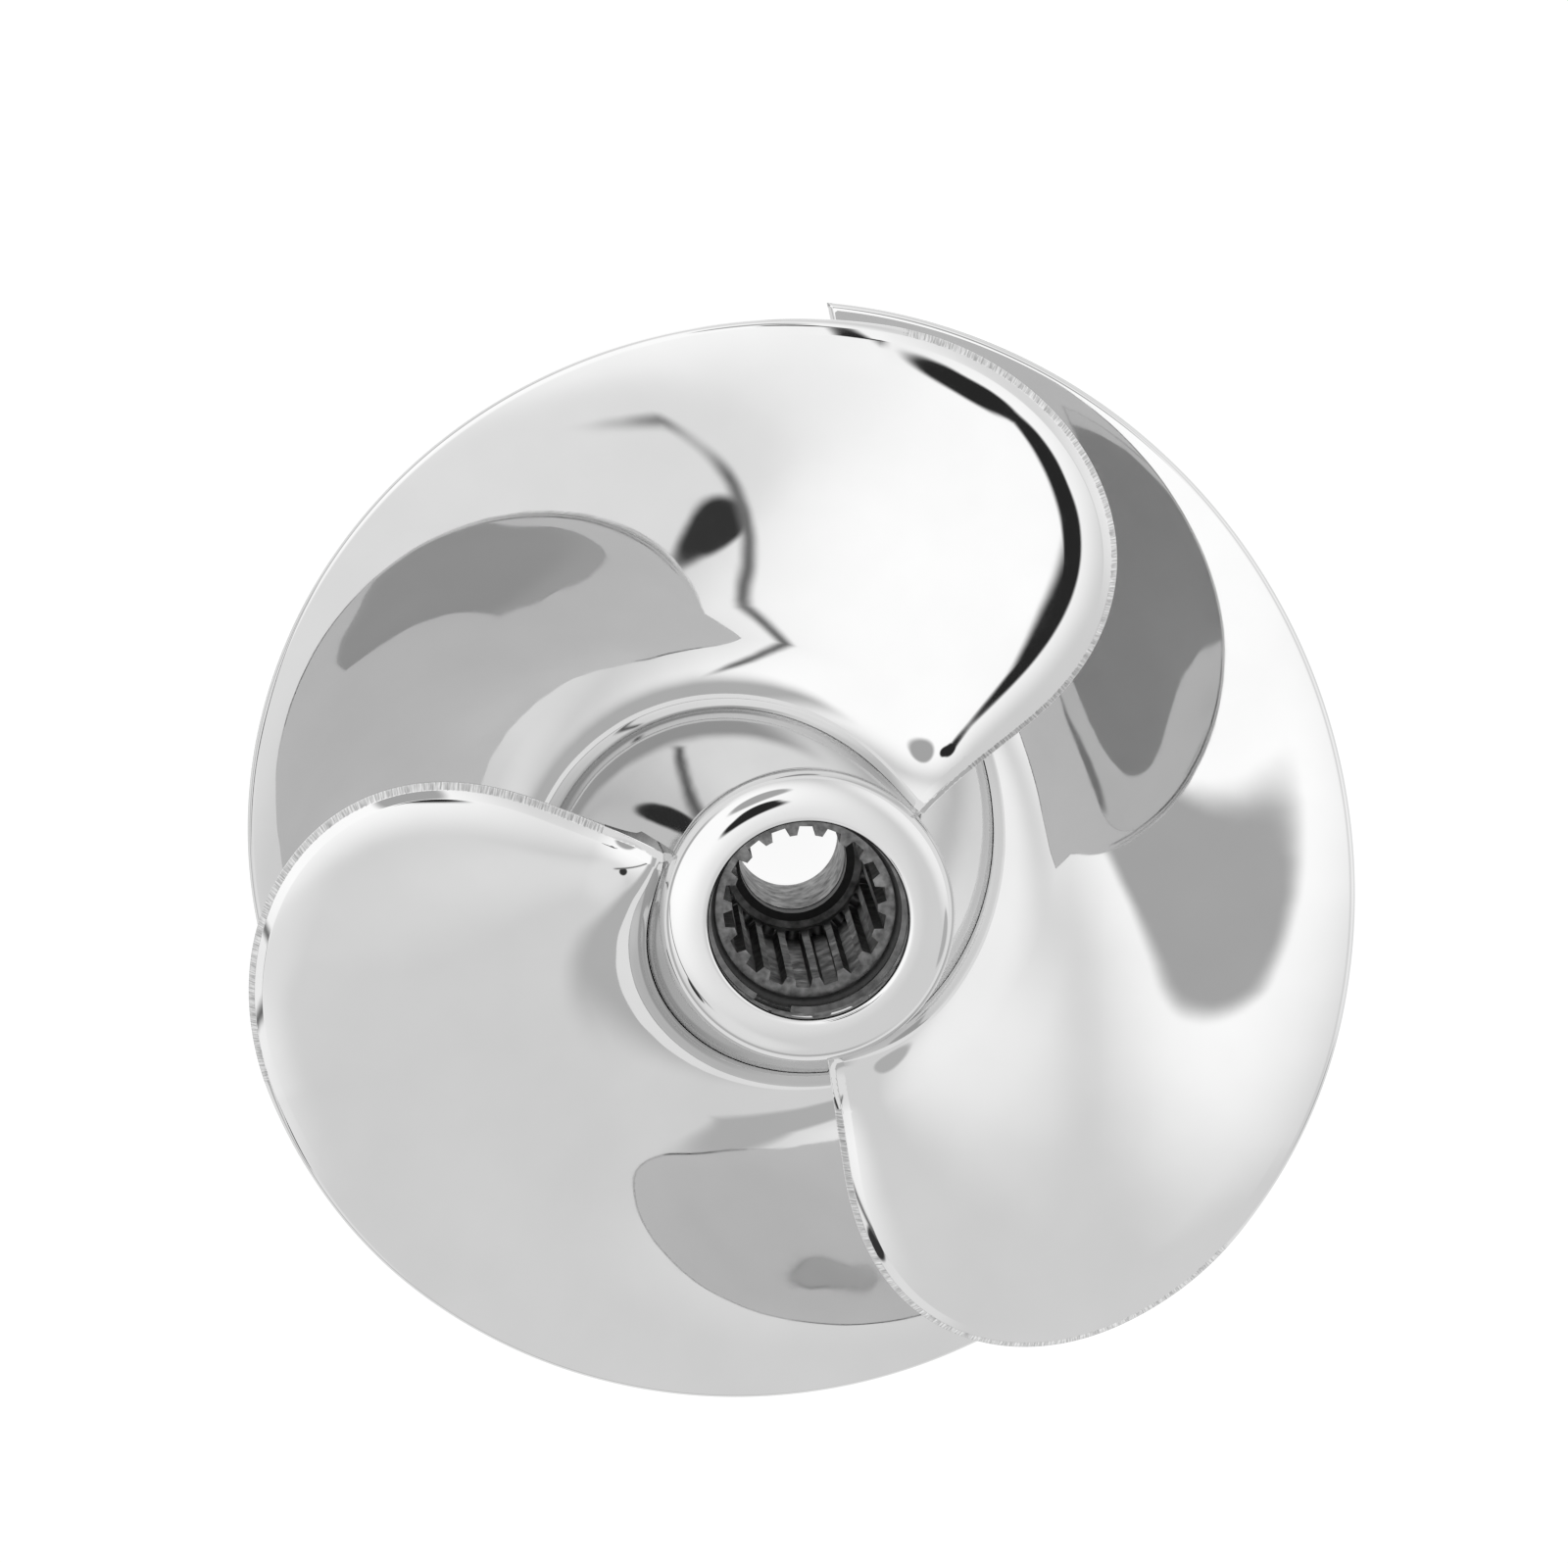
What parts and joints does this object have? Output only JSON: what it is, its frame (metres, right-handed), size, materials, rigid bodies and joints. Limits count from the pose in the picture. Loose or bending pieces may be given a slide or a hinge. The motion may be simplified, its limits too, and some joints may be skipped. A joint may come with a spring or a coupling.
{
  "type": "jet pump impeller",
  "caption": "Mirror-polished axial-flow impeller: a flared hub with swept, pitched blades round a splined through bore, turning inside a watercraft's jet pump.",
  "frame": {"origin": "centre of the hub's rear rim, on the shaft axis", "axes": "+Z along the shaft axis, towards the nose where the drive shaft enters; the first blade's leading edge starts 38.4 degrees from +X towards +Y"},
  "size_m": [0.159, 0.159, 0.077],
  "materials": {
    "polished_steel": "mirror-polished stainless steel, ground along the leading edges",
    "machined_steel": "dark machined and broached steel",
    "spring_steel": "bright spring steel",
    "rubber": "black nitrile rubber"
  },
  "bodies": {
    "root": {"hub": "polished_steel", "blade_1": "polished_steel", "blade_2": "polished_steel", "blade_3": "polished_steel", "spline_sleeve": "machined_steel", "snap_ring": "spring_steel", "mouth_seal": "rubber", "shaft_bumper": "rubber"}
  },
  "joints": []
}
